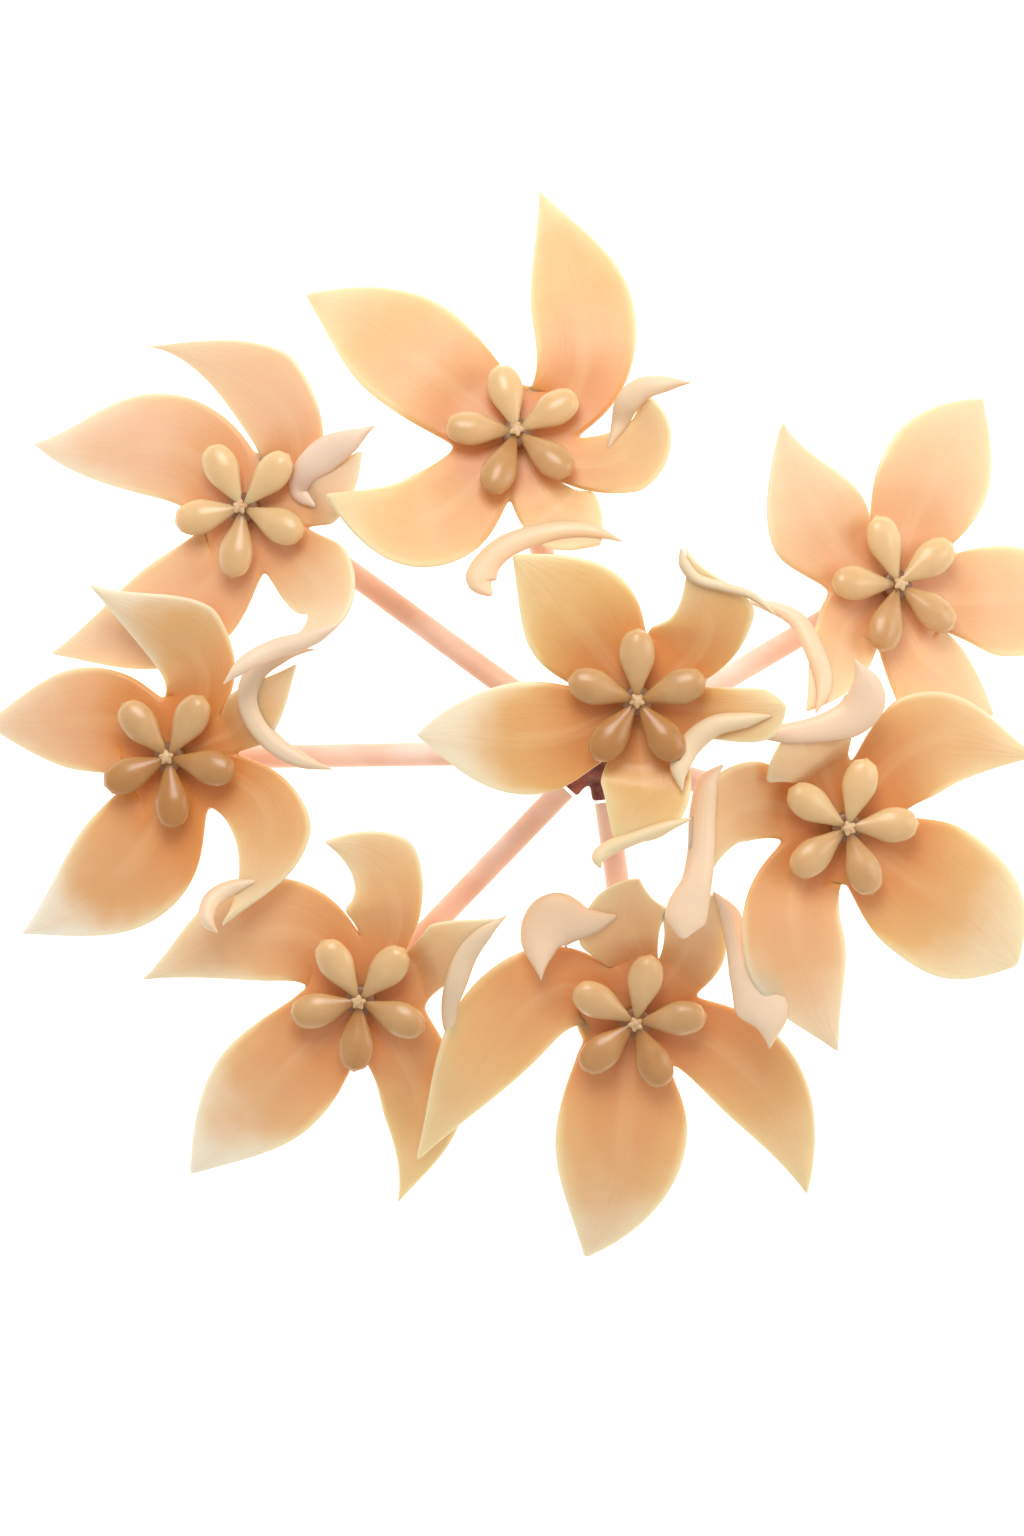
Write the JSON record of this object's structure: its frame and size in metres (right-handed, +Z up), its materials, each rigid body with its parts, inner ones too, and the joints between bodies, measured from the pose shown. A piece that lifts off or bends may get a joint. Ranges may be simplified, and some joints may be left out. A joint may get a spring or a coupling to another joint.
{
  "type": "hoya flower umbel",
  "caption": "Cut cluster of waxy apricot star flowers, each with a cream central star, on pink stalks spreading from one dark knob; lies face up.",
  "frame": {"origin": "middle of the bounding box at the surface that the umbel lies on", "axes": "+Z up, the way the flowers face and the shortest extent; +Y towards the single flower on the far side of the umbel, +X to the right of it"},
  "size_m": [0.1027, 0.0971, 0.0285],
  "materials": {
    "petal": "soft waxy satin",
    "corona": "glossy wax",
    "style_head": "satin",
    "calyx": "matte, finely downy",
    "pedicel": "matte, finely downy",
    "rachis": "matte, rough"
  },
  "bodies": {
    "root": {"corolla_front": "petal", "corona_front": "corona", "style_head_front": "style_head", "calyx_front": "calyx", "pedicel_front": "pedicel", "corolla_left_upper": "petal", "corona_left_upper": "corona", "style_head_left_upper": "style_head", "calyx_left_upper": "calyx", "pedicel_left_upper": "pedicel", "corolla_top": "petal", "corona_top": "corona", "style_head_top": "style_head", "calyx_top": "calyx", "pedicel_top": "pedicel", "corolla_right_upper": "petal", "corona_right_upper": "corona", "style_head_right_upper": "style_head", "calyx_right_upper": "calyx", "pedicel_right_upper": "pedicel", "corolla_right_lower": "petal", "corona_right_lower": "corona", "style_head_right_lower": "style_head", "calyx_right_lower": "calyx", "pedicel_right_lower": "pedicel", "corolla_left_lower": "petal", "corona_left_lower": "corona", "style_head_left_lower": "style_head", "calyx_left_lower": "calyx", "pedicel_left_lower": "pedicel", "corolla_bottom": "petal", "corona_bottom": "corona", "style_head_bottom": "style_head", "calyx_bottom": "calyx", "pedicel_bottom": "pedicel", "corolla_left": "petal", "corona_left": "corona", "style_head_left": "style_head", "calyx_left": "calyx", "pedicel_left": "pedicel", "rachis": "rachis", "peduncle": "rachis"}
  },
  "joints": []
}
